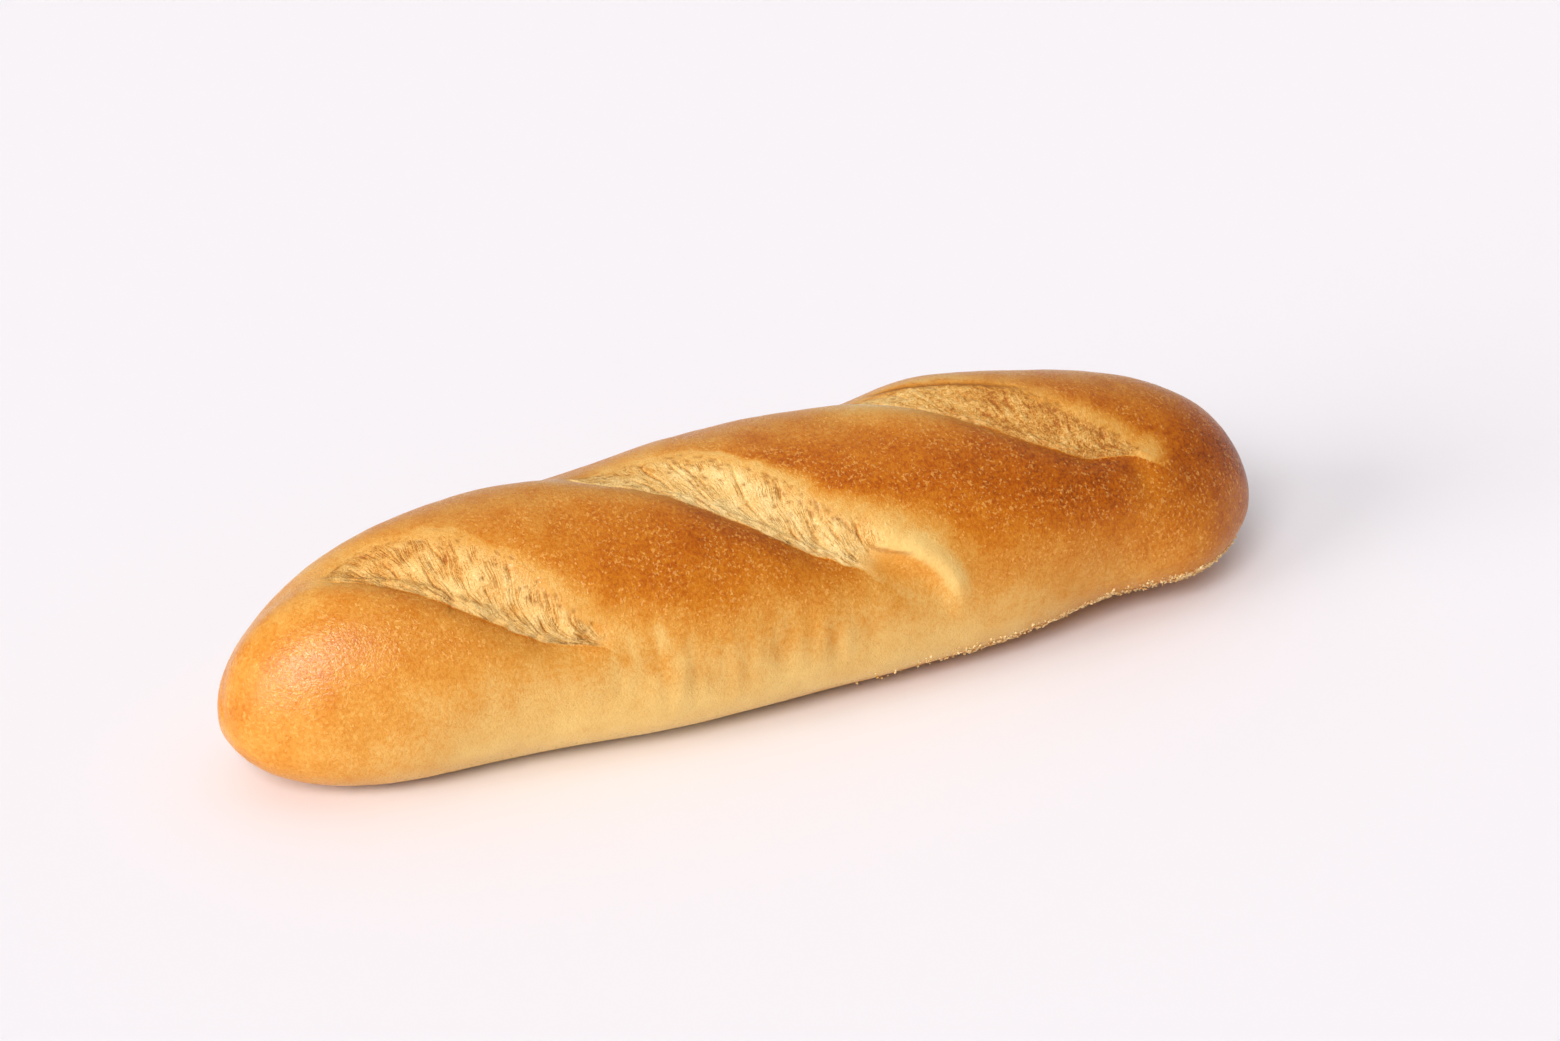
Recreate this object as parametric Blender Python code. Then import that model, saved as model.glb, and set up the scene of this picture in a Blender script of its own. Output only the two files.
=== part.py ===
"""Hoagie roll: one baked loaf with three opened scores, lying on its flat base.

Metres. +X runs along the roll, -Y is the side that the scores run down to, +Z is up, and the origin is at
the middle of the base. A place on the crust is named by its x and by its crown angle: 0 on the crown line,
positive down the -Y side, 90 degrees where the roll is widest.
"""

from collections import namedtuple
from math import atan2, cos, exp, pi, radians, sin

import bmesh
import bpy
import numpy as np
from mathutils import Vector

# The loaf, before its scores open
LENGTH = 0.203
WIDTH = 0.0568
HEIGHT = 0.0434
AXIS_HEIGHT = 0.315 * HEIGHT  # height of the widest line
DROOP = 1.10  # how far the underside would hang if no base flattened it, as a share of AXIS_HEIGHT
BEND = 0.0020  # how far the two ends bow towards -Y
CRUST_RADIUS = 0.028  # turns a crown angle into a distance round the crust

# Fullness of the ends: 2 is an ellipse, larger is blunter. Each pair is the -X end and the +X end.
PLAN_FULLNESS = (2.7, 2.8)
CROWN_FULLNESS = (4.4, 3.7)
HEEL_FULLNESS = (7.5, 2.7)  # the +X heel curves up off the base early
PLAN_CORNER = (2.1, 2.5)  # how square the ends turn over
CROWN_CORNER = (2.1, 2.1)
HEEL_CORNER = (2.0, 2.0)
UNDERSIDE_SQUARENESS = 2.6

# Where the hand-shaped dough stands out from an even loaf, or falls short of it; the reach is along the roll
Swell = namedtuple("Swell", "x angle reach height")
SWELLS = (
    Swell(x=-0.055, angle=104, reach=0.020, height=-0.0022),
    Swell(x=0.062, angle=104, reach=0.014, height=-0.0014),
    Swell(x=0.083, angle=100, reach=0.012, height=0.0024),
    Swell(x=-0.024, angle=-25, reach=0.012, height=-0.0012),
    Swell(x=0.042, angle=-35, reach=0.012, height=0.0014),
)
SWELL_ROUND = 0.014  # reach of a swell round the crust

# The skin of quads
RINGS = 98
TOP_POINTS = 40  # round a ring, from the lower edge on one side over the crown to the other
BASE_POINTS = 9
LOWER_EDGE = radians(122)  # crown angle where the close spacing ends

# Scores. Each runs from its head, near the crown, to its tail down the -Y side. Its lip is the crisp border
# towards -X, which bows a little and then steps aside near the tail.
Score = namedtuple("Score", "head tail width tail_width depth blunt bow step")
SCORES = (
    Score(head=(-0.0824, -2), tail=(-0.0416, 73), width=0.0134, tail_width=0.0030, depth=0.0036,
          blunt=0.60, bow=-0.0024, step=0.0025),
    Score(head=(-0.0330, -14), tail=(0.0097, 66), width=0.0128, tail_width=0.0075, depth=0.0044,
          blunt=0.85, bow=-0.0014, step=0.0009),
    Score(head=(0.0251, -22), tail=(0.0695, 49), width=0.0130, tail_width=0.0030, depth=0.0036,
          blunt=1.00, bow=-0.0034, step=0.0027),
)
LIP_DROP = 0.40  # share of the depth at which the browned crust ends
SHOULDER = 0.0045  # width over which the crust rolls down to its lip
FOOT = 0.0013  # from the lip to the deepest line
TROUGH_DEPTH = 0.0017  # the crust sags along a score, past its head and tail too
TROUGH_REACH = 0.0080
TROUGH_MIDDLE = 0.0035  # from the lip

# Folds, where one swell of crust pushes against the next past a score's tail: a hollow, then a ridge
Fold = namedtuple("Fold", "start end hollow ridge")
FOLDS = (
    Fold(start=(0.0115, 52), end=(0.0285, 83), hollow=0.0011, ridge=0.0007),
    Fold(start=(0.0712, 40), end=(0.0745, 64), hollow=0.0005, ridge=0.0004),
)
FOLD_REACH = 0.0030


def end_taper(x, fullness, corner):
    """1 along the middle of the roll, falling to 0 at its two ends."""
    share = min(1.0, abs(2 * x / LENGTH))
    return (1 - share ** fullness[x > 0]) ** (1 / corner[x > 0])


def half_width(x):
    return WIDTH / 2 * end_taper(x, PLAN_FULLNESS, PLAN_CORNER)


def crown_rise(x):
    return (HEIGHT - AXIS_HEIGHT) * end_taper(x, CROWN_FULLNESS, CROWN_CORNER)


def heel_drop(x):
    return AXIS_HEIGHT * DROOP * end_taper(x, HEEL_FULLNESS, HEEL_CORNER)


def centre_y(x):
    return -BEND * (2 * x / LENGTH) ** 2


def skin_point(x, angle):
    """The point of the unscored loaf at x and a crown angle in radians."""
    across, up = sin(angle), cos(angle)
    if up >= 0:
        y, z = half_width(x) * across, AXIS_HEIGHT + crown_rise(x) * up
    else:
        power = 2 / UNDERSIDE_SQUARENESS
        y = half_width(x) * abs(across) ** power * (1 if across > 0 else -1)
        z = AXIS_HEIGHT - heel_drop(x) * abs(up) ** power
    return Vector((x, centre_y(x) - y, max(0.0, z)))


def crown_angle(point):
    """The crown angle, in radians, of a point on or near the skin."""
    rise = (point.z - AXIS_HEIGHT) / (HEIGHT - AXIS_HEIGHT)
    return atan2((centre_y(point.x) - point.y) / (WIDTH / 2), rise)


def smooth(low, high, value):
    """0 below low, 1 above high, and an S-curve between."""
    share = min(1.0, max(0.0, (value - low) / (high - low)))
    return share * share * (3 - 2 * share)


def ring_stations():
    """x of each ring, evenly spaced along the crown from end to end."""
    x = LENGTH / 2 * np.sin(np.linspace(-pi / 2, pi / 2, 2001))
    z = np.array([crown_rise(value) for value in x])
    run = np.concatenate([[0], np.cumsum(np.hypot(np.diff(x), np.diff(z)))])
    return np.interp(np.linspace(0, run[-1], RINGS + 2)[1:-1], run, x)


def ring_angles():
    """Crown angles round a ring: close over the top and sides, wide across the base."""
    top = np.linspace(-LOWER_EDGE, LOWER_EDGE, TOP_POINTS)
    base = np.linspace(LOWER_EDGE, 2 * pi - LOWER_EDGE, BASE_POINTS + 2)[1:-1]
    return np.concatenate([top, base])


def make_skin():
    """The unscored loaf: rings bridged from end to end, with a fan of triangles at each end."""
    skin = bmesh.new()
    angles = ring_angles()
    previous = None
    for x in ring_stations():
        made = bmesh.ops.create_circle(skin, segments=len(angles), radius=WIDTH)
        for vert, angle in zip(made["verts"], angles):
            vert.co = skin_point(x, angle)
        ring = list({edge for vert in made["verts"] for edge in vert.link_edges})
        if previous is None:
            cap_end(skin, made["verts"], -LENGTH / 2)
        else:
            bmesh.ops.bridge_loops(skin, edges=previous + ring)
        previous = ring
    cap_end(skin, made["verts"], LENGTH / 2)
    bmesh.ops.recalc_face_normals(skin, faces=skin.faces)
    return skin


def cap_end(skin, ring, x):
    tip = skin.verts.new((x, centre_y(x), AXIS_HEIGHT))
    for here, there in zip(ring, ring[1:] + ring[:1]):
        skin.faces.new((tip, here, there))


def unroll(x, angle):
    """The place on the crust when it is laid out flat, in metres."""
    return Vector((x, CRUST_RADIUS * angle))


class Track:
    """A line on the unrolled crust: along runs from 0 to 1, and across is metres towards +X."""

    def __init__(self, start, end):
        self.start = unroll(start[0], radians(start[1]))
        reach = unroll(end[0], radians(end[1])) - self.start
        self.length = reach.length
        self.run = reach / self.length
        self.side = Vector((self.run.y, -self.run.x))

    def shift(self, along):
        return 0.0

    def locate(self, point):
        place = unroll(point.x, crown_angle(point)) - self.start
        along = place.dot(self.run) / self.length
        return along, place.dot(self.side) - self.shift(along)

    def point(self, along, across):
        place = self.start + self.run * self.length * along + self.side * (across + self.shift(along))
        return skin_point(place.x, place.y / CRUST_RADIUS)


class Opening(Track):
    """A score: its track is the lip, and the torn strip lies across from it."""

    def __init__(self, score):
        super().__init__(score.head, score.tail)
        self.score = score

    def shift(self, along):
        bow = self.score.bow * sin(pi * min(1.0, max(0.0, along)) ** 1.4)
        return bow + self.score.step * smooth(0.80, 1.02, along)

    def width(self, along):
        """Width of the torn strip, blunt at the head and drawn out to the tail."""
        lens = self.score.width * sin(pi * min(1.0, max(0.0, along)) ** self.score.blunt) ** 0.6
        return max(lens, self.score.tail_width * smooth(0.5, 0.9, along))

    def depth(self, along, across):
        """How far the opened valley lies under the skin."""
        width = max(self.width(along), 3 * FOOT)
        deepest = self.score.depth * smooth(-0.02, 0.12, along) * (1 - smooth(0.80, 1.08, along))
        if across < -SHOULDER or across > width:
            return 0.0
        if across < 0:
            return deepest * LIP_DROP * (1 + across / SHOULDER) ** 2
        if across < FOOT:
            return deepest * (LIP_DROP + (1 - LIP_DROP) * across / FOOT)
        return deepest * (1 - (across - FOOT) / (width - FOOT)) ** 1.8

    def trough(self, along, across):
        """The soft sag of the crust round the score."""
        window = smooth(-0.8, 0.0, along) * (1 - smooth(0.8, 1.4, along))
        return TROUGH_DEPTH * window * exp(-(((across - TROUGH_MIDDLE) / TROUGH_REACH) ** 2))


class Crease(Track):
    """A fold past a score's tail."""

    def __init__(self, fold):
        super().__init__(fold.start, fold.end)
        self.fold = fold

    def rise(self, along, across):
        window = smooth(-0.1, 0.2, along) * (1 - smooth(0.7, 1.1, along))
        hollow = exp(-((across / FOLD_REACH + 0.7) ** 2))
        ridge = exp(-((across / FOLD_REACH - 0.9) ** 2))
        return window * (self.fold.ridge * ridge - self.fold.hollow * hollow)


def swelling(point):
    """The hand-shaped unevenness at a point of the skin."""
    angle = crown_angle(point)
    total = 0.0
    for swell in SWELLS:
        run = (point.x - swell.x) / swell.reach
        turn = CRUST_RADIUS * (angle - radians(swell.angle)) / SWELL_ROUND
        total += swell.height * exp(-(run ** 2) - turn ** 2)
    return total


def relief(point, openings, creases):
    """Metres that the crust stands out from the skin at a point."""
    rise = swelling(point)
    for opening in openings:
        along, across = opening.locate(point)
        rise -= opening.depth(along, across) + opening.trough(along, across)
    for crease in creases:
        rise += crease.rise(*crease.locate(point))
    return rise


def cut_lips(skin, openings):
    """Puts a line of edges along each lip, and one along the deepest line behind it."""
    for opening in openings:
        for offset in (0.0, FOOT):
            cut_line(skin, opening, offset)


def cut_line(skin, opening, offset):
    shares = np.linspace(0.0, 1.08, 8)
    for start, stop in zip(shares, shares[1:]):
        first, second = opening.point(start, offset), opening.point(stop, offset)
        outward = first + second - 2 * Vector((0, 0, AXIS_HEIGHT))
        outward.x = 0
        near = []
        for face in skin.faces:
            along, across = opening.locate(face.calc_center_median())
            if start <= along < stop and abs(across - offset) < 0.004 and face.normal.z > 0.05:
                near.append(face)
        parts = list({part for face in near for part in (face, *face.edges, *face.verts)})
        bmesh.ops.bisect_plane(skin, geom=parts, dist=0.0003, plane_co=first,
                               plane_no=(second - first).cross(outward).normalized())


def make_roll():
    openings = [Opening(score) for score in SCORES]
    creases = [Crease(fold) for fold in FOLDS]
    skin = make_skin()
    cut_lips(skin, openings)
    bmesh.ops.triangulate(skin, faces=[face for face in skin.faces if len(face.verts) > 4])
    skin.normal_update()
    risen = [vert for vert in skin.verts if vert.co.z > 0]
    moves = [vert.normal * relief(vert.co, openings, creases) for vert in risen]
    for vert, move in zip(risen, moves):
        vert.co += move
        vert.co.z = max(0.0, vert.co.z)
    mesh = bpy.data.meshes.new("roll")
    skin.to_mesh(mesh)
    skin.free()
    mesh.shade_smooth()
    return bpy.data.objects.new("roll", mesh)


def crust_material():
    material = bpy.data.materials.new("crust")
    material.use_nodes = True
    shader = material.node_tree.nodes["Principled BSDF"]
    shader.inputs["Base Color"].default_value = (0.62, 0.28, 0.07, 1)
    shader.inputs["Roughness"].default_value = 0.5
    return material


def main():
    for old in list(bpy.data.objects):
        bpy.data.objects.remove(old)
    roll = make_roll()
    roll.data.materials.append(crust_material())
    bpy.context.scene.collection.objects.link(roll)


main()
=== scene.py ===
from collections import namedtuple
from math import cos, pi, radians, sin

import bmesh
import bpy
import numpy as np
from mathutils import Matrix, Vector, noise


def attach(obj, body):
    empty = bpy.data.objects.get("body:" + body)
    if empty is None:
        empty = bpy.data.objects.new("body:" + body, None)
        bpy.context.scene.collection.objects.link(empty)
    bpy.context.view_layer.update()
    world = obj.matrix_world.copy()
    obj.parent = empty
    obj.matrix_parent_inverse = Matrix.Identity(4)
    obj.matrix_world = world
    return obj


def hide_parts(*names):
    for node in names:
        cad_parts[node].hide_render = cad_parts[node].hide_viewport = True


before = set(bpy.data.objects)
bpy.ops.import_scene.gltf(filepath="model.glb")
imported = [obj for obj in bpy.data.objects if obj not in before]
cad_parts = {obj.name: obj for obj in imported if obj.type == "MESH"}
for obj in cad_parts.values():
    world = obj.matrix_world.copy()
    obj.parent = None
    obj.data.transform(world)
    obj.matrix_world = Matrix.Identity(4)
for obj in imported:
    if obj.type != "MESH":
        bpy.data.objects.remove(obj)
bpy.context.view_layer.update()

# ---------------------------------------------------------------------------------------------------------
# The loaf: one hand-shaped roll of wheat dough, scored three times and baked on a flat tray until its top
# browned. Each score tore open in the oven and shows stretched crumb behind a crisp lip of crust. A place on
# the crust is named by x and by its crown angle: 0 on the crown line, 90 degrees at the widest line on the
# -Y side.
# ---------------------------------------------------------------------------------------------------------
LENGTH = 0.203
WIDTH = 0.0568
HEIGHT = 0.0434
AXIS_HEIGHT = 0.315 * HEIGHT  # of the widest line
BEND = 0.0020  # how far the ends lean towards -Y
CRUST_RADIUS = 0.028  # a crown angle in radians times this is a distance round the crust

# The scores, from the head near the crown to the tail on the -Y side.
#   bow, step: how far the lip bows sideways, and how far it steps over at its tail
#   width, tail_width, blunt: the torn strip's greatest width, its least near the tail, and how it widens
#   closing: the share of the length over which it closes to smooth skin
#   valley: the solid's own cut: how deep it is, how much its foot is rounded off, and its own strip
#   tone: the torn crumb at the head and further on, from 0 for pale to 1 for browned
#   strand, fan: the spacing of its strands, and how far they fan out
#   groove, crease: how deep the strands part, and how strongly fine creases show between them
#   pebble, pits: how high its crumb is pebbled, and how many bubbles burst in it
#   skin, trail: how browned the crust is beside it, and how far past its tail that crust reaches
Score = namedtuple("Score", """head tail bow step width tail_width blunt closing valley tone strand fan
                               groove crease pebble pits skin trail""")
Valley = namedtuple("Valley", "deepest rounded width tail_width blunt")
SCORES = (
    Score(head=(-0.0824, -2), tail=(-0.0416, 73), bow=-0.0024, step=0.0025,
          width=0.0134, tail_width=0.0034, blunt=0.72, closing=(0.90, 1.04),
          valley=Valley(deepest=0.0036, rounded=0.00095, width=0.0134, tail_width=0.0030, blunt=0.60),
          tone=(0.60, 0.40), strand=0.0026, fan=0.0085, groove=0.00042, crease=1.0,
          pebble=0.00008, pits=45, skin=0.34, trail=0.28),
    Score(head=(-0.0330, -14), tail=(0.0097, 66), bow=-0.0014, step=0.0009,
          width=0.0124, tail_width=0.0098, blunt=0.96, closing=(0.92, 1.10),
          valley=Valley(deepest=0.0044, rounded=0.00028, width=0.0128, tail_width=0.0075, blunt=0.85),
          tone=(0.36, 0.26), strand=0.0030, fan=0.0080, groove=0.00048, crease=0.9,
          pebble=0.00006, pits=110, skin=0.28, trail=0.28),
    Score(head=(0.0251, -22), tail=(0.0695, 49), bow=-0.0034, step=0.0027,
          width=0.0130, tail_width=0.0030, blunt=1.00, closing=(0.92, 1.06),
          valley=Valley(deepest=0.0036, rounded=0.00026, width=0.0130, tail_width=0.0030, blunt=1.00),
          tone=(0.34, 0.68), strand=0.0020, fan=0.0060, groove=0.00014, crease=0.3,
          pebble=0.00018, pits=90, skin=0.44, trail=0.05),
)
LIP_DROP = 0.40  # share of the valley's depth at which the browned crust ends
FOOT = 0.0013  # from the lip to the valley's deepest line
LIP_RIM = 0.00008  # how far the lip's rim stands up
LIP_WANDER = 0.0004  # how far the lip strays from its line
NARROWEST = 0.0004  # a torn strip
PIT_DEPTH = 0.00016  # of a burst bubble

# Thin cracks: a fold in two pieces where swells of crust press together past the middle score, the far
# border of the last score where the crust tore away, and one nick by the lip of the first. Each is painted
# darker along its line, as shade in the crack
Seam = namedtuple("Seam", "start end bow depth reach stain")
SEAMS = (
    Seam(start=(0.0090, 45.0), end=(0.0125, 54.0), bow=-0.0003, depth=0.00020, reach=0.00033, stain=0.5),
    Seam(start=(0.0132, 57.0), end=(0.0210, 64.0), bow=-0.0004, depth=0.00030, reach=0.00035, stain=0.6),
    Seam(start=(0.0325, -27.5), end=(0.0580, 6.0), bow=0.0004, depth=0.00025, reach=0.00060, stain=1.2),
    Seam(start=(-0.0632, 32.0), end=(-0.0652, 42.0), bow=0.0, depth=0.00022, reach=0.00060, stain=0.5),
)
RIDGE = ((0.0148, 58.8), (0.0285, 86.5))  # the pale fold itself, on its +X side
RIDGE_BOW = 0.0022

# Patches of crust made darker or paler than the crust round them
Patch = namedtuple("Patch", "x reach angle spread amount")
PATCHES = (
    Patch(x=-0.0240, reach=0.013, angle=0, spread=20, amount=-0.20),
    Patch(x=0.0341, reach=0.013, angle=-8, spread=20, amount=-0.36),
    Patch(x=0.0340, reach=0.014, angle=-6, spread=14, amount=-0.12),
    Patch(x=-0.0660, reach=0.006, angle=22, spread=9, amount=0.07),
    Patch(x=0.0000, reach=0.008, angle=14, spread=14, amount=0.12),
    Patch(x=0.0570, reach=0.008, angle=58, spread=12, amount=0.12),
    Patch(x=0.0660, reach=0.007, angle=17, spread=13, amount=0.10),
)
TAIL_PATCHES = (
    Patch(x=0.0725, reach=0.0045, angle=54, spread=14, amount=-0.14),
    Patch(x=0.0720, reach=0.012, angle=24, spread=18, amount=-0.12),
)


def smooth(low, high, value):
    """0 below low, 1 above high, and an S-curve between."""
    share = np.clip((value - low) / (high - low), 0, 1)
    return share * share * (3 - 2 * share)


def between(value, start, full, fade, end):
    """0 up to start, 1 from full to fade, and 0 again from end."""
    return smooth(start, full, value) * (1 - smooth(fade, end, value))


def hump(value, middle, reach):
    """1 at the middle, falling off on both sides."""
    return np.exp(-((value - middle) / reach) ** 2)


def toward(value, goal, share):
    """The value brought some share of the way to a goal."""
    return value + (goal - value) * share


def crown_angle(points):
    """The crown angle, in radians, of points on the crust, given as rows."""
    centre = -BEND * (2 * points[:, 0] / LENGTH) ** 2
    rise = (points[:, 2] - AXIS_HEIGHT) / (HEIGHT - AXIS_HEIGHT)
    return np.arctan2((centre - points[:, 1]) / (WIDTH / 2), rise)


def speckle(points, size, seed=0.0):
    """Even noise between about -1 and 1, with features of that size."""
    return np.array([noise.noise(place) for place in points / size + seed])


class Track:
    """Places measured from a line on the unrolled crust: share runs from 0 to 1 and along in metres from its
    start, and across is metres from the line towards +X."""

    def __init__(self, start, end, points):
        start, end = (np.array((x, CRUST_RADIUS * radians(angle))) for x, angle in (start, end))
        self.length = np.linalg.norm(end - start)
        run = (end - start) / self.length
        place = np.column_stack((points[:, 0], CRUST_RADIUS * crown_angle(points))) - start
        self.along = place @ run
        self.share = self.along / self.length
        self.across = place @ np.array((run[1], -run[0]))

    def bowed(self, bow):
        """across, from the line bent sideways by bow at its middle."""
        return self.across - bow * np.sin(pi * np.clip(self.share, 0, 1))


def strip_width(share, strip):
    """How wide a torn strip is along its length: a lens that may stay open towards its tail."""
    lens = strip.width * np.clip(np.sin(pi * np.clip(share, 0, 1) ** strip.blunt), 0, 1) ** 0.6
    return np.maximum(lens, strip.tail_width * smooth(0.5, 0.9, share))


class Tear(Track):
    """A score: its line is the lip, and depth is 0 at the lip and 1 at the far border of the torn strip."""

    def __init__(self, score, points):
        super().__init__(score.head, score.tail, points)
        self.score = score
        bowing = score.bow * np.sin(pi * np.clip(self.share, 0, 1) ** 1.4)
        self.clean_across = self.across - (bowing + score.step * smooth(0.80, 1.02, self.share))
        self.across = self.clean_across + LIP_WANDER * speckle(points, 0.0030, 19.0)
        self.width = np.maximum(strip_width(self.share, score), NARROWEST)
        self.depth = self.across / self.width
        self.front = points[:, 2] > 0.6 * AXIS_HEIGHT

    def opened(self, points):
        """1 on torn crumb, 0 on crust, with a ragged far border."""
        ends = between(self.share, -0.02, 0.06, *self.score.closing)
        ragged = self.depth + 0.10 * speckle(points, 0.0013, 31.0) + 0.06 * speckle(points, 0.0005, 37.0)
        return self.front * ends * smooth(-0.0001, 0.0004, self.across) * (1 - smooth(0.64, 1.04, ragged))

    def swell(self):
        """How far the crumb, springing up behind the lip, fills the solid's valley there."""
        valley = self.score.valley
        width = np.maximum(strip_width(self.share, valley), 3 * FOOT)
        beyond = np.clip((self.clean_across - FOOT) / (width - FOOT), 0, 1)
        wall = LIP_DROP + (1 - LIP_DROP) * self.clean_across / FOOT
        cut = np.where(self.clean_across < FOOT, wall, (1 - beyond) ** 1.8)
        left = LIP_DROP * (1 - np.clip(self.clean_across / width, 0, 1)) ** 1.3
        rounding = valley.rounded * hump(self.clean_across, 0.0012, 0.00075)
        fill = 0.95 * valley.deepest * (cut - left) - rounding
        ends = between(self.share, -0.02, 0.12, 0.80, 1.08)
        return self.front * ends * (self.clean_across > 0) * np.maximum(fill, 0)

    def flow(self, points):
        """Counts the strands along the tear. They fan out from the lip: nearly along it there, and steep at
        the far border."""
        inside = np.clip(self.depth, 0.02, 1.5)
        drift = 0.0009 * speckle(points, 0.0040, 7.0)
        return (self.along + self.score.fan * np.log(inside + 0.12) + drift) / self.score.strand

    def grooves(self, flow, points):
        """The deep grooves between strands: 1 in the middle of a groove."""
        step = 0.2
        places = np.column_stack((flow, 1.3 * self.depth + self.along / 0.030, 0 * flow + 3.3))
        here = np.array([noise.noise(place) for place in places])
        beyond = np.array([noise.noise(place) for place in places + np.array((step, 0.0, 0.0))])
        apart = np.abs(here) / np.maximum(np.abs(beyond - here) / step, 0.6)
        parted = smooth(-0.30, 0.15, speckle(points, 0.0034, 29.0))
        ends = smooth(0.02, 0.12, self.share) * (1 - smooth(0.80, 1.05, self.depth))
        return ends * parted * (1 - smooth(0.0, 0.16, apart))

    def pits(self, draw):
        """Small burst bubbles, most of them towards the far border: 1 in the middle of a pit."""
        field = np.zeros(len(self.along))
        for _ in range(self.score.pits):
            along = draw.uniform(0.02, 0.92) * self.length
            depth = 1.04 - abs(draw.normal(0, 0.28))
            size = draw.uniform(0.00016, 0.00034)
            stretch = draw.uniform(1.0, 2.2)
            near = np.abs(self.along - along) < 0.002
            sideways = (self.depth[near] - depth) * self.width[near]
            apart = np.hypot((self.along[near] - along) / stretch, sideways)
            field[near] = np.maximum(field[near], np.exp(-(apart / size) ** 2))
        return field * self.front


def seam_field(seam, points):
    """1 along a crack, 0 past its ends, and the distance across it."""
    line = Track(seam.start, seam.end, points)
    across = line.bowed(seam.bow) + 0.00018 * speckle(points, 0.0014, 41.0)
    return between(line.share, -0.08, 0.10, 0.70, 1.06), across


def read_rows(mesh, name):
    flat = np.empty(len(mesh.vertices) * 3)
    mesh.vertices.foreach_get(name, flat)
    return flat.reshape(-1, 3)


def move_to(mesh, points):
    mesh.vertices.foreach_set("co", points.ravel())
    mesh.update()


def rounded_copy(node):
    """A closed mesh of small quads from a CAD node's loose triangles."""
    shell = bmesh.new()
    shell.from_mesh(node.data)
    bmesh.ops.remove_doubles(shell, verts=shell.verts, dist=1e-6)
    bmesh.ops.join_triangles(shell, faces=shell.faces, angle_face_threshold=radians(40),
                             angle_shape_threshold=radians(60))
    mesh = bpy.data.meshes.new("loaf")
    shell.to_mesh(mesh)
    shell.free()
    piece = bpy.data.objects.new("loaf", mesh)
    bpy.context.scene.collection.objects.link(piece)
    rounding = piece.modifiers.new("rounding", "SUBSURF")
    rounding.levels = rounding.render_levels = 1
    rounded = bpy.data.meshes.new_from_object(piece.evaluated_get(bpy.context.evaluated_depsgraph_get()))
    bpy.data.objects.remove(piece)
    return rounded


def on_top(middles):
    return (middles[:, 1] < 0.016) & (middles[:, 2] > 0.004)


def by_seams(middles, reach=0.0008):
    wanted = np.zeros(len(middles), bool)
    for seam in SEAMS:
        window, across = seam_field(seam, middles)
        wanted |= (window > 0) & (np.abs(across) < reach)
    return wanted


def by_tears(middles):
    wanted = by_seams(middles, 0.0016)
    for score in SCORES:
        tear = Tear(score, middles)
        inside = (tear.across > -0.0008) & (tear.depth < 1.15) & (np.abs(tear.share - 0.5) < 0.54)
        wanted |= tear.front & inside
    return wanted


def refine(mesh, choose, roundness):
    """Cuts the chosen faces in four."""
    shell = bmesh.new()
    shell.from_mesh(mesh)
    shell.faces.ensure_lookup_table()
    wanted = choose(np.array([face.calc_center_median() for face in shell.faces]))
    edges = {edge for index in np.flatnonzero(wanted) for edge in shell.faces[index].edges}
    bmesh.ops.subdivide_edges(shell, edges=list(edges), cuts=1, smooth=roundness, use_grid_fill=True,
                              use_single_edge=True)
    shell.to_mesh(mesh)
    shell.free()


def fill_valleys(mesh):
    """Lifts the torn crumb straight out of the valleys behind the lips."""
    points = read_rows(mesh, "co")
    turn = crown_angle(points)
    outward = np.column_stack((0 * turn, -np.sin(turn) / (WIDTH / 2), np.cos(turn) / (HEIGHT - AXIS_HEIGHT)))
    outward /= np.linalg.norm(outward, axis=1)[:, None]
    points += outward * sum(Tear(score, points).swell() for score in SCORES)[:, None]
    move_to(mesh, points)
    return points


def patchy(x, angle, patches):
    return sum(patch.amount * hump(x, patch.x, patch.reach) * hump(angle, patch.angle, patch.spread)
               for patch in patches)


def baked_all_over(points, angle):
    """How browned the crust is, from 0 for pale to 1 for dark: most on the shoulders and towards +X, a little
    less along the crown, and least low on the -Y side between the heels. Part of the paleness along the crown
    is painted sheen, and part of the darkening towards the +X end is painted shade."""
    x = points[:, 0]
    side = smooth(36, 118, np.abs(angle))
    # Darker towards +X: partly the crust's own browning, partly painted shade on the +X end, which is turned
    # from the lamps
    top = 0.52 + 0.28 * smooth(-0.070, -0.010, x) + 0.10 * smooth(0.020, 0.090, x)
    # Paler along the crown: partly the crust's own colour, partly painted sheen where the crown is seen
    # edge-on
    top = toward(top, 0.46, hump(angle, -18, 36))
    # Darker low at the +X heel: partly painted shade on the side turned from the lamps
    foot = 0.45 * smooth(-0.045, -0.105, x) + 0.46 * smooth(0.015, 0.090, x) + 0.12 * smooth(0.074, 0.096, x)
    browning = top * (1 - side) + foot * side + patchy(x, angle, PATCHES)
    browning -= 0.12 * hump(x, -0.079, 0.010) * (1 - smooth(0, 20, angle))
    return browning + 0.03 * speckle(points, 0.012, 17.0)


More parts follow.
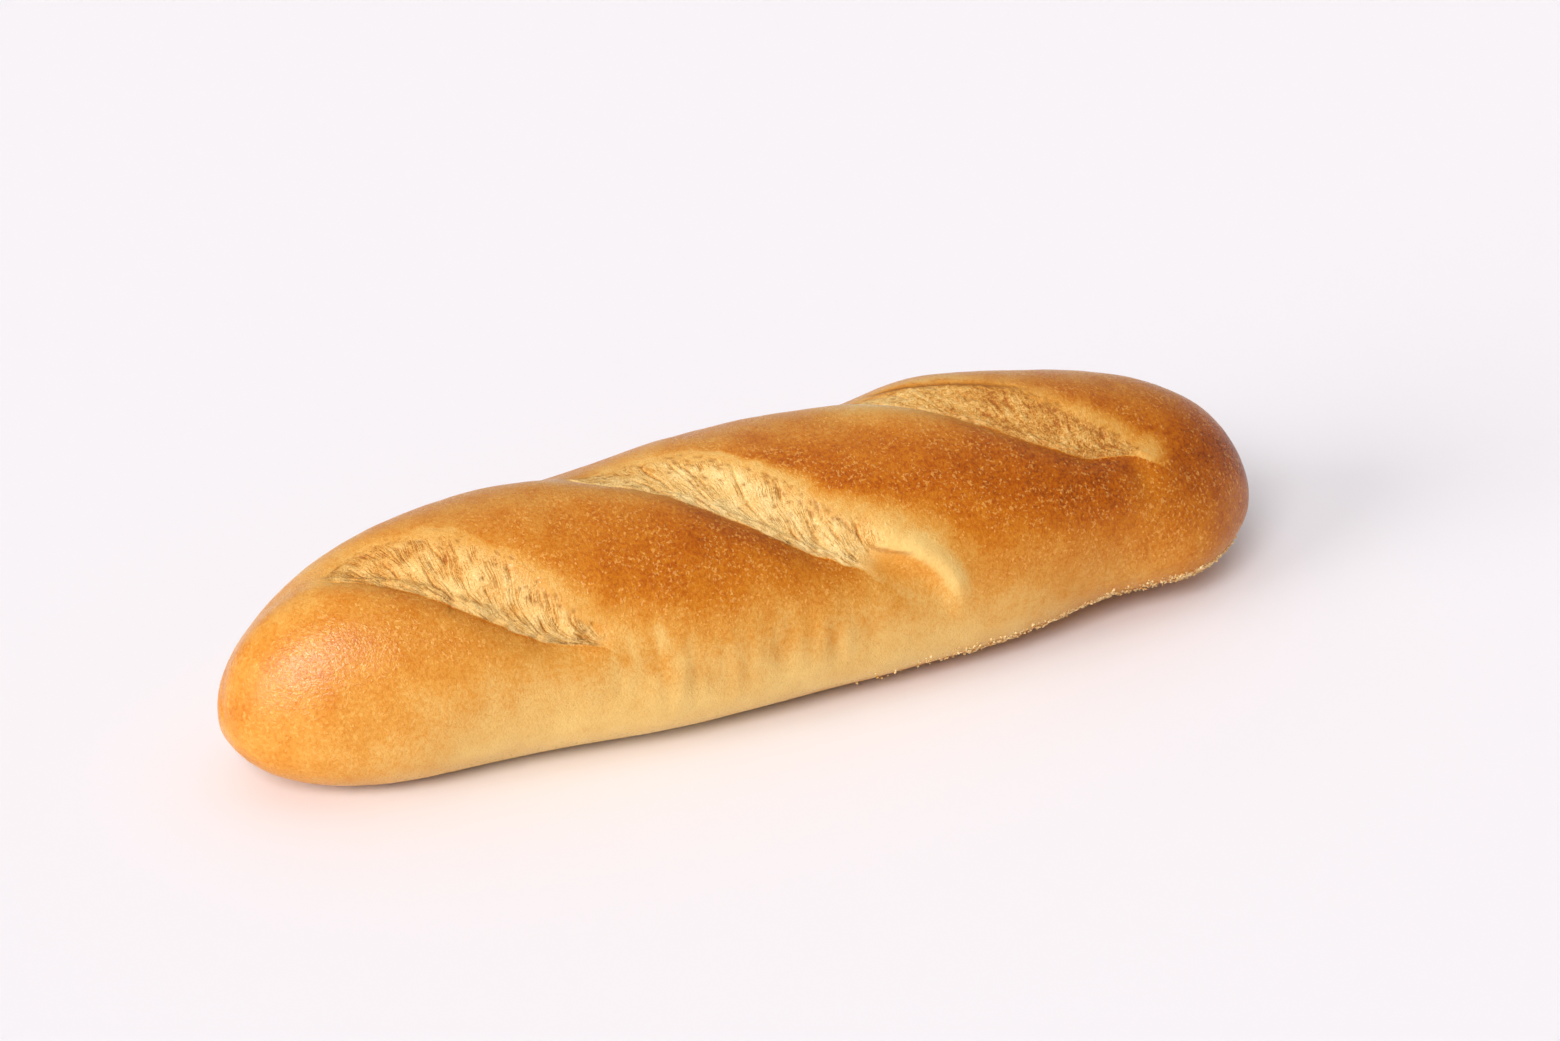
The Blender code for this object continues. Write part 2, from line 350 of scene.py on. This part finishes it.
def tear_open(score, seed, points, kept):
    """Marks a score in the kept numbers, and gives how far its crumb and lip stand out from the solid."""
    tear = Tear(score, points)
    opened = tear.opened(points)
    torn = opened > 0
    strand = tear.flow(points)
    grooves = opened * tear.grooves(strand, points)
    pits = tear.pits(np.random.default_rng(seed + 21)) * smooth(0.02, 0.3, opened + 0.1)
    puffs = speckle(points, 0.0028, seed)
    pebbles = speckle(points, 0.0010, seed)
    tone = toward(*score.tone, smooth(0.05, 0.55, tear.share)) + 0.20 * smooth(0.60, 1.0, tear.depth)
    # Paler on the raised puffs and pebbles: painted highlight. Paler just behind the lip: painted light where
    # the lip shades the crumb
    tone -= 0.22 * puffs + 900 * score.pebble * pebbles + 0.10 * hump(tear.across, 0.0010, 0.0012)
    kept["crumb"] = np.maximum(kept["crumb"], opened)
    kept["groove"] = np.maximum(kept["groove"], grooves)
    kept["pit"] = np.maximum(kept["pit"], pits)
    kept["flow"] += torn * (strand + 40 * seed)
    kept["inside"] += torn * tear.depth
    kept["creasing"] += torn * score.crease
    kept["tone"] += torn * tone

    # The skin past the far border stretched and baked last, and is pale, most widely so past the tail
    ends = tear.front * between(tear.share, -0.02, 0.10, 1.02 + score.trail / 3, 1.10 + score.trail)
    past = tear.across - tear.width + 0.0012 * speckle(points, 0.0040, 43.0)
    reach = 0.0012 + 0.0044 * smooth(0.40, 0.90, tear.share)
    reach += 0.018 * score.trail * smooth(0.92, 1.12, tear.share)
    beside = ends * (tear.across > 0) * (1 - smooth(-0.002, 1.0, past / reach))
    kept["browning"] = toward(kept["browning"], score.skin, beside)

    # The lip is a thin raised rim of hard, browned crust
    lip = tear.front * between(tear.share, 0.02, 0.12, 0.76, 0.96)
    kept["browning"] = toward(kept["browning"], 0.66, 0.6 * lip * hump(tear.across, 0.0, 0.0006))
    rise = opened * (0.00018 * puffs + score.pebble * pebbles) - score.groove * grooves - PIT_DEPTH * pits
    return rise + LIP_RIM * lip * hump(tear.across, -0.0007, 0.0007)


def press_fold(points, kept):
    """Marks the pale fold and the golden hollow on its -X side, and gives how far they stand out. The fold's
    paleness is partly painted highlight on its lit face.
    """
    ridge = Track(*RIDGE, points)
    past = ridge.bowed(RIDGE_BOW)
    drifting = past + 0.0008 * speckle(points, 0.0035, 47.0)
    fold = between(ridge.share, -0.30, 0.05, 0.72, 1.08)
    pale = fold * smooth(-0.0006, 0.0006, past) * (1 - smooth(0.0022, 0.0056, drifting))
    golden = fold * smooth(0.0006, -0.0006, past) * smooth(-0.0085, -0.0030, drifting)
    golden *= 1 - smooth(0.30, 0.75, ridge.share)
    # pale fold: partly painted highlight on its lit face
    kept["browning"] = toward(kept["browning"], 0.10, pale)
    kept["browning"] = toward(kept["browning"], 0.46, 0.85 * golden)
    return fold * (0.00042 * hump(past, 0.0018, 0.0014) - 0.00035 * hump(past, -0.0020, 0.0018))


def make_loaf(node):
    mesh = rounded_copy(node)
    refine(mesh, on_top, 1.0)
    refine(mesh, by_tears, 0.0)
    refine(mesh, by_seams, 0.0)
    points = fill_valleys(mesh)
    normals = read_rows(mesh, "normal")
    angle = np.degrees(crown_angle(points))
    x, height = points[:, 0], points[:, 2]
    kept = {name: np.zeros(len(points)) for name in
            ("browning", "crumb", "tone", "groove", "pit", "flow", "inside", "creasing")}

    # Hand-shaped unevenness, and shallow wrinkles under the first two scores
    wrinkled = between(x, -0.048, -0.036, 0.004, 0.016) * hump(angle, 84, 11)
    wrinkle = wrinkled * speckle(points * np.array((1.0, 0.25, 0.25)), 0.0026, 11.0)
    rise = 0.00018 * speckle(points, 0.011, 3.0) + 0.00006 * speckle(points, 0.004, 5.0) + 0.00042 * wrinkle
    kept["browning"] = baked_all_over(points, angle) - 0.10 * wrinkle

    for seed, score in enumerate(SCORES):
        rise += tear_open(score, seed, points, kept)
    rise += press_fold(points, kept)

    # Pale streaks drawn down into the side past the tails of the first and last scores
    streaks = np.clip(2.2 * speckle(points * np.array((1.0, 0.30, 0.30)), 0.0030, 53.0) + 0.2, 0, 1)
    kept["browning"] -= 0.16 * streaks * between(x, -0.046, -0.038, -0.020, 0.006) * hump(angle, 72, 9)
    kept["browning"] += patchy(x, angle, TAIL_PATCHES)

    for seam in SEAMS:
        window, across = seam_field(seam, points)
        line = window * hump(across, 0, seam.reach)
        rise -= seam.depth * line
        # painted shade along the crack
        kept["pit"] = np.maximum(kept["pit"], seam.stain * line)

    # The flat underside took its colour from the hot tray. The crust turned under towards the card, in the +X
    # half, is painted darker as shade
    kept["browning"] += 0.40 * smooth(0.0010, 0.0003, height)
    painted_underside_shade = smooth(-0.62, -0.88, normals[:, 2]) * smooth(-0.030, 0.030, x)
    kept["browning"] = toward(kept["browning"], 0.44, 0.8 * painted_underside_shade)

    points += normals * (rise * smooth(0.0, 0.004, height))[:, None]
    points[:, 2] = np.maximum(points[:, 2], 0.0)
    move_to(mesh, points)
    for name, values in kept.items():
        mesh.attributes.new(name, "FLOAT", "POINT").data.foreach_set("value", values.astype(np.float32))
    mesh.name = "crust"
    mesh.shade_smooth()
    loaf = bpy.data.objects.new("crust", mesh)
    bpy.context.scene.collection.objects.link(loaf)
    return loaf


class Shade:
    """A value or colour on its way through a material. Sums on it add their Math nodes."""

    def __init__(self, tree, socket=None):
        self.tree = tree
        self.socket = socket

    def node(self, kind, settings=None, values=None, output=0):
        """Adds a node: its settings first, then the values or links of its sockets."""
        made = self.tree.nodes.new("ShaderNode" + kind)
        for name, value in (settings or {}).items():
            if name == "stops":
                lay_stops(made.color_ramp, value)
            else:
                setattr(made, name, value)
        for name, value in (values or {}).items():
            if isinstance(value, Shade):
                self.tree.links.new(value.socket, made.inputs[name])
            else:
                made.inputs[name].default_value = value
        return Shade(self.tree, made.outputs[output])

    def maths(self, operation, *values):
        return self.node("Math", {"operation": operation}, dict(enumerate(values)))

    def __add__(self, other):
        return self.maths("ADD", self, other)

    def __sub__(self, other):
        return self.maths("SUBTRACT", self, other)

    def __rsub__(self, other):
        return self.maths("SUBTRACT", other, self)

    def __mul__(self, other):
        return self.maths("MULTIPLY", self, other)

    __radd__ = __add__
    __rmul__ = __mul__

    def step(self, low, high):
        """0 below low, 1 above high, smooth between."""
        return self.node("MapRange", {"interpolation_type": "SMOOTHSTEP"},
                         {"Value": self, "From Min": low, "From Max": high})

    def noise(self, place, size, detail=2.0, rough=0.5):
        return self.node("TexNoise", {}, {"Vector": place, "Scale": 1 / size, "Detail": detail,
                                          "Roughness": rough})

    def kept(self, name):
        """A number stored on the mesh."""
        return self.node("Attribute", {"attribute_name": name}, output=2)

    def blend(self, factor, first, second):
        """first where factor is 0, second where it is 1."""
        return self.node("Mix", {"data_type": "RGBA"}, {0: factor, 6: first, 7: second}, output=2)


def lay_stops(ramp, stops):
    while len(ramp.elements) < len(stops):
        ramp.elements.new(0.5)
    for element, (position, colour) in zip(ramp.elements, stops):
        element.position = position
        element.color = colour


def srgb(red, green, blue):
    """A paint-chart colour, 0 to 255, as the light it reflects."""
    parts = [part / 255 for part in (red, green, blue)]
    return tuple(p / 12.92 if p <= 0.04045 else ((p + 0.055) / 1.055) ** 2.4 for p in parts) + (1.0,)


def new_material(name):
    material = bpy.data.materials.new(name)
    material.use_nodes = True
    return material, material.node_tree.nodes["Principled BSDF"], Shade(material.node_tree)


def connect(shader, socket, value):
    value.tree.links.new(value.socket, shader.inputs[socket])


CRUST_STOPS = (
    (0.00, srgb(236, 198, 122)),
    (0.20, srgb(225, 177, 100)),
    (0.40, srgb(214, 147, 60)),
    (0.60, srgb(197, 115, 24)),
    (0.80, srgb(173, 85, 7)),
    (1.00, srgb(128, 54, 4)),
)
CRUMB_STOPS = (
    (0.00, srgb(244, 210, 144)),
    (0.35, srgb(230, 183, 108)),
    (0.70, srgb(206, 143, 60)),
    (1.00, srgb(168, 96, 26)),
)
BLISTER = srgb(242, 178, 92)
# painted shade in burst bubbles and thin cracks
PAINTED_HOLLOW_SHADE = srgb(160, 98, 28)


def crust_material():
    material, shader, shade = new_material("baked_crust")
    place = shade.node("TexCoord", output=3)
    browning = shade.kept("browning")

    mottle = shade.noise(place, 0.0050, 3.0, 0.6) - 0.5
    grain = shade.noise(place, 0.00070, 3.0, 0.65) - 0.5
    fine = shade.noise(place, 0.00035, 2.0, 0.5) - 0.5
    baked = browning + 0.34 * mottle + (0.25 + 0.60 * browning) * grain
    crust = shade.node("ValToRGB", {"stops": CRUST_STOPS}, {"Fac": baked})

    # Tiny pale blisters on the browned crust, some single and some in worm-like runs
    jolt = shade.node("TexNoise", {}, {"Vector": place, "Scale": 1 / 0.0008, "Detail": 2.0}, output=1)
    jolted = shade.node("VectorMath", {"operation": "MULTIPLY_ADD"}, {0: jolt, 1: (0.0009,) * 3, 2: place})
    cells = shade.node("TexVoronoi", {}, {"Vector": jolted, "Scale": 1 / 0.0011, "Randomness": 1.0})
    crowded = shade.noise(place, 0.0024, 2.0)
    single = (1 - cells.step(0.08, 0.28)) * crowded.step(0.42, 0.52)
    worms = shade.noise(jolted, 0.00065, 1.5, 0.5).step(0.57, 0.65)
    runs = worms * shade.noise(place, 0.0060, 1.0).step(0.36, 0.54)
    blister = shade.maths("MAXIMUM", single, 0.8 * runs)
    crust = shade.blend(blister * browning.step(0.20, 0.52) * 0.52, crust, BLISTER)

    # Torn crumb: pale strands with thin creases between them; the deep grooves and the creases are painted
    # darker, as shade
    strand = shade.node("CombineXYZ", {}, {"X": 3.2 * shade.kept("flow"), "Y": 1.6 * shade.kept("inside")})
    wave = shade.maths("ABSOLUTE", shade.noise(strand, 1.0, 1.5) - 0.5)
    creasing = shade.kept("creasing")
    crease = creasing * (1 - wave.step(0.0, 0.055)) * shade.noise(place, 0.0022, 1.0).step(0.36, 0.58)
    patch = shade.noise(strand, 3.0, 1.0) - 0.5
    crumb_tone = (shade.kept("tone") + 0.34 * shade.kept("groove") + 0.30 * crease + 0.5 * patch
                  + (1.3 - 0.85 * creasing) * grain + 0.5 * fine)
    torn = shade.node("ValToRGB", {"stops": CRUMB_STOPS}, {"Fac": crumb_tone})
    ragged = (shade.kept("crumb") + 0.9 * grain).step(0.12, 0.88)
    colour = shade.blend(ragged, crust, torn)
    # Burst bubbles and thin cracks painted dark brown: painted shade in the hollows
    connect(shader, "Base Color", shade.blend(shade.kept("pit") * 0.85, colour, PAINTED_HOLLOW_SHADE))
    connect(shader, "Roughness", 0.30 + 0.3 * grain + 0.35 * ragged)
    height = 0.00012 * grain + 0.00005 * fine + 0.00004 * blister
    height = height + ragged * (0.00010 * fine - 0.00010 * crease)
    connect(shader, "Normal", shade.node("Bump", {}, {"Height": height, "Distance": 1.0, "Strength": 1.0}))
    shader.inputs["Specular IOR Level"].default_value = 0.16
    return material


loaf = make_loaf(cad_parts["roll"])
loaf.data.materials.clear()
loaf.data.materials.append(crust_material())
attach(loaf, "root")
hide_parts("roll")

# ---------------------------------------------------------------------------------------------------------
# Cornmeal: coarse grains from the baking tray, which stuck to the dough where its underside turns in on the
# -Y side, most of them towards the +X heel. One grain is a crumpled little ball of twenty faces.
# ---------------------------------------------------------------------------------------------------------
GRAINS = 1500
GRAIN_SIZE = (0.00013, 0.00030)  # half across, smallest and largest
GRAIN_STAND = 0.00012  # how far grains stand off the crust, and how unevenly
HANDFUL = 50  # grains made at a time, which is quicker than all at once


def landing_places(mesh, count, draw):
    """Points on the crust where grains stuck, each with its outward direction."""
    middles = np.array([face.center for face in mesh.polygons])
    outward = np.array([face.normal for face in mesh.polygons])
    areas = np.array([face.area for face in mesh.polygons])
    x = middles[:, 0]
    run = smooth(0.008, 0.045, x) * (0.35 + 0.65 * smooth(0.020, 0.045, x)) * (1 - smooth(0.094, 0.101, x))
    drifts = np.array([noise.noise(middle / 0.006) for middle in middles])
    turned_in = between(-outward[:, 2], 0.46, 0.66, 0.82, 0.90)
    near_side = (middles[:, 1] < 0.004) & (middles[:, 2] > 0.0003)
    weight = areas * run * turned_in * near_side * (0.25 + np.clip(drifts + 0.2, 0, 1))
    picked = draw.choice(len(middles), size=count, p=weight / weight.sum())
    return middles[picked], outward[picked]


def make_cornmeal(crust):
    draw = np.random.default_rng(8)
    heap = bmesh.new()
    places = list(zip(*landing_places(crust.data, GRAINS, draw)))
    for first in range(0, GRAINS, HANDFUL):
        handful = bmesh.new()
        for middle, outward in places[first:first + HANDFUL]:
            grain = bmesh.ops.create_icosphere(handful, subdivisions=1, radius=1.0)["verts"]
            size = Vector(draw.uniform(*GRAIN_SIZE) * draw.uniform(0.7, 1.2, 3))
            turn = Vector(draw.normal(size=3)).to_track_quat("Z", "Y").to_matrix()
            place = Vector(middle) + Vector(outward) * GRAIN_STAND + Vector(draw.normal(size=3)) * GRAIN_STAND
            for vert in grain:
                crumple = draw.uniform(0.78, 1.15)
                vert.co = turn @ (vert.co * crumple * size) + place
                vert.co.z = max(vert.co.z, 0.00002)
        poured = bpy.data.meshes.new("handful")
        handful.to_mesh(poured)
        handful.free()
        heap.from_mesh(poured)
        bpy.data.meshes.remove(poured)
    mesh = bpy.data.meshes.new("cornmeal")
    heap.to_mesh(mesh)
    heap.free()
    grains = bpy.data.objects.new("cornmeal", mesh)
    bpy.context.scene.collection.objects.link(grains)
    return grains


def cornmeal_material():
    material, shader, shade = new_material("cornmeal")
    lot = shade.noise(shade.node("TexCoord", output=3), 0.0009, 1.0)
    connect(shader, "Base Color", shade.blend(lot.step(0.35, 0.68), srgb(242, 214, 156), srgb(210, 160, 88)))
    shader.inputs["Roughness"].default_value = 0.6
    return material


cornmeal = make_cornmeal(loaf)
cornmeal.data.materials.append(cornmeal_material())
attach(cornmeal, "root")

# ---------------------------------------------------------------------------------------------------------
# The table: a plain sheet of white card, swept wide, under soft lamps. Two are broad and come from the -X
# side, one is dim and overhead, and one small lamp shows only in the crust's gloss.
# ---------------------------------------------------------------------------------------------------------
CARD_SPAN = 12.0
CARD_COLOUR = (0.90, 0.86, 0.89, 1)
WALL_LIGHT = 0.34  # from the pale walls all round

card_shape = bmesh.new()
bmesh.ops.create_grid(card_shape, x_segments=1, y_segments=1, size=CARD_SPAN / 2)
card_mesh = bpy.data.meshes.new("card")
card_shape.to_mesh(card_mesh)
card_shape.free()
card = bpy.data.objects.new("card", card_mesh)
bpy.context.scene.collection.objects.link(card)
card_material, card_shader, _ = new_material("white_card")
card_shader.inputs["Base Color"].default_value = CARD_COLOUR
card_shader.inputs["Roughness"].default_value = 0.9
card_shader.inputs["Specular IOR Level"].default_value = 0.1
card_mesh.materials.append(card_material)

world = bpy.data.worlds.new("studio")
world.use_nodes = True
world.node_tree.nodes["Background"].inputs["Color"].default_value = (1.0, 1.0, 1.0, 1)
world.node_tree.nodes["Background"].inputs["Strength"].default_value = WALL_LIGHT
bpy.context.scene.world = world


def facing(azimuth, height):
    """The direction to something that far round and up: azimuth 0 is in front, and -90 at the -X end."""
    azimuth, height = radians(azimuth), radians(height)
    return Vector((sin(azimuth) * cos(height), -cos(azimuth) * cos(height), sin(height)))


def hang_lamp(name, azimuth, height, strength, spread):
    """A soft lamp, far off."""
    lamp_data = bpy.data.lights.new(name, "SUN")
    lamp_data.energy = strength
    lamp_data.angle = radians(spread)
    lamp = bpy.data.objects.new(name, lamp_data)
    lamp.rotation_euler = facing(azimuth, height).to_track_quat("Z", "Y").to_euler()
    bpy.context.scene.collection.objects.link(lamp)
    return lamp


hang_lamp("high_lamp", -44, 38, strength=1.80, spread=25)
hang_lamp("low_lamp", -82, 17, strength=2.10, spread=34)
hang_lamp("ceiling_lamp", 165, 68, strength=0.55, spread=90)
hang_lamp("gloss_lamp", -56, 35, strength=8.0, spread=9).visible_diffuse = False

# ---------------------------------------------------------------------------------------------------------
# The camera: a long lens, a metre away, looking down along the roll's near side.
# ---------------------------------------------------------------------------------------------------------
VIEW_AZIMUTH = -28.634
VIEW_HEIGHT = 27
VIEW_DISTANCE = 5 * LENGTH
VIEW_CENTRE = Vector((0, 0, 0.1 * LENGTH))

eye = bpy.data.cameras.new("eye")
eye.sensor_width = 36.0
eye.lens = 132.28
eye.shift_x = 0.0236
eye.shift_y = 0.0224
camera = bpy.data.objects.new("camera", eye)
view_back = facing(VIEW_AZIMUTH, VIEW_HEIGHT)
camera.location = VIEW_CENTRE + view_back * VIEW_DISTANCE
camera.rotation_euler = view_back.to_track_quat("Z", "Y").to_euler()
bpy.context.scene.collection.objects.link(camera)
bpy.context.scene.camera = camera
bpy.context.scene.view_settings.view_transform = "Standard"
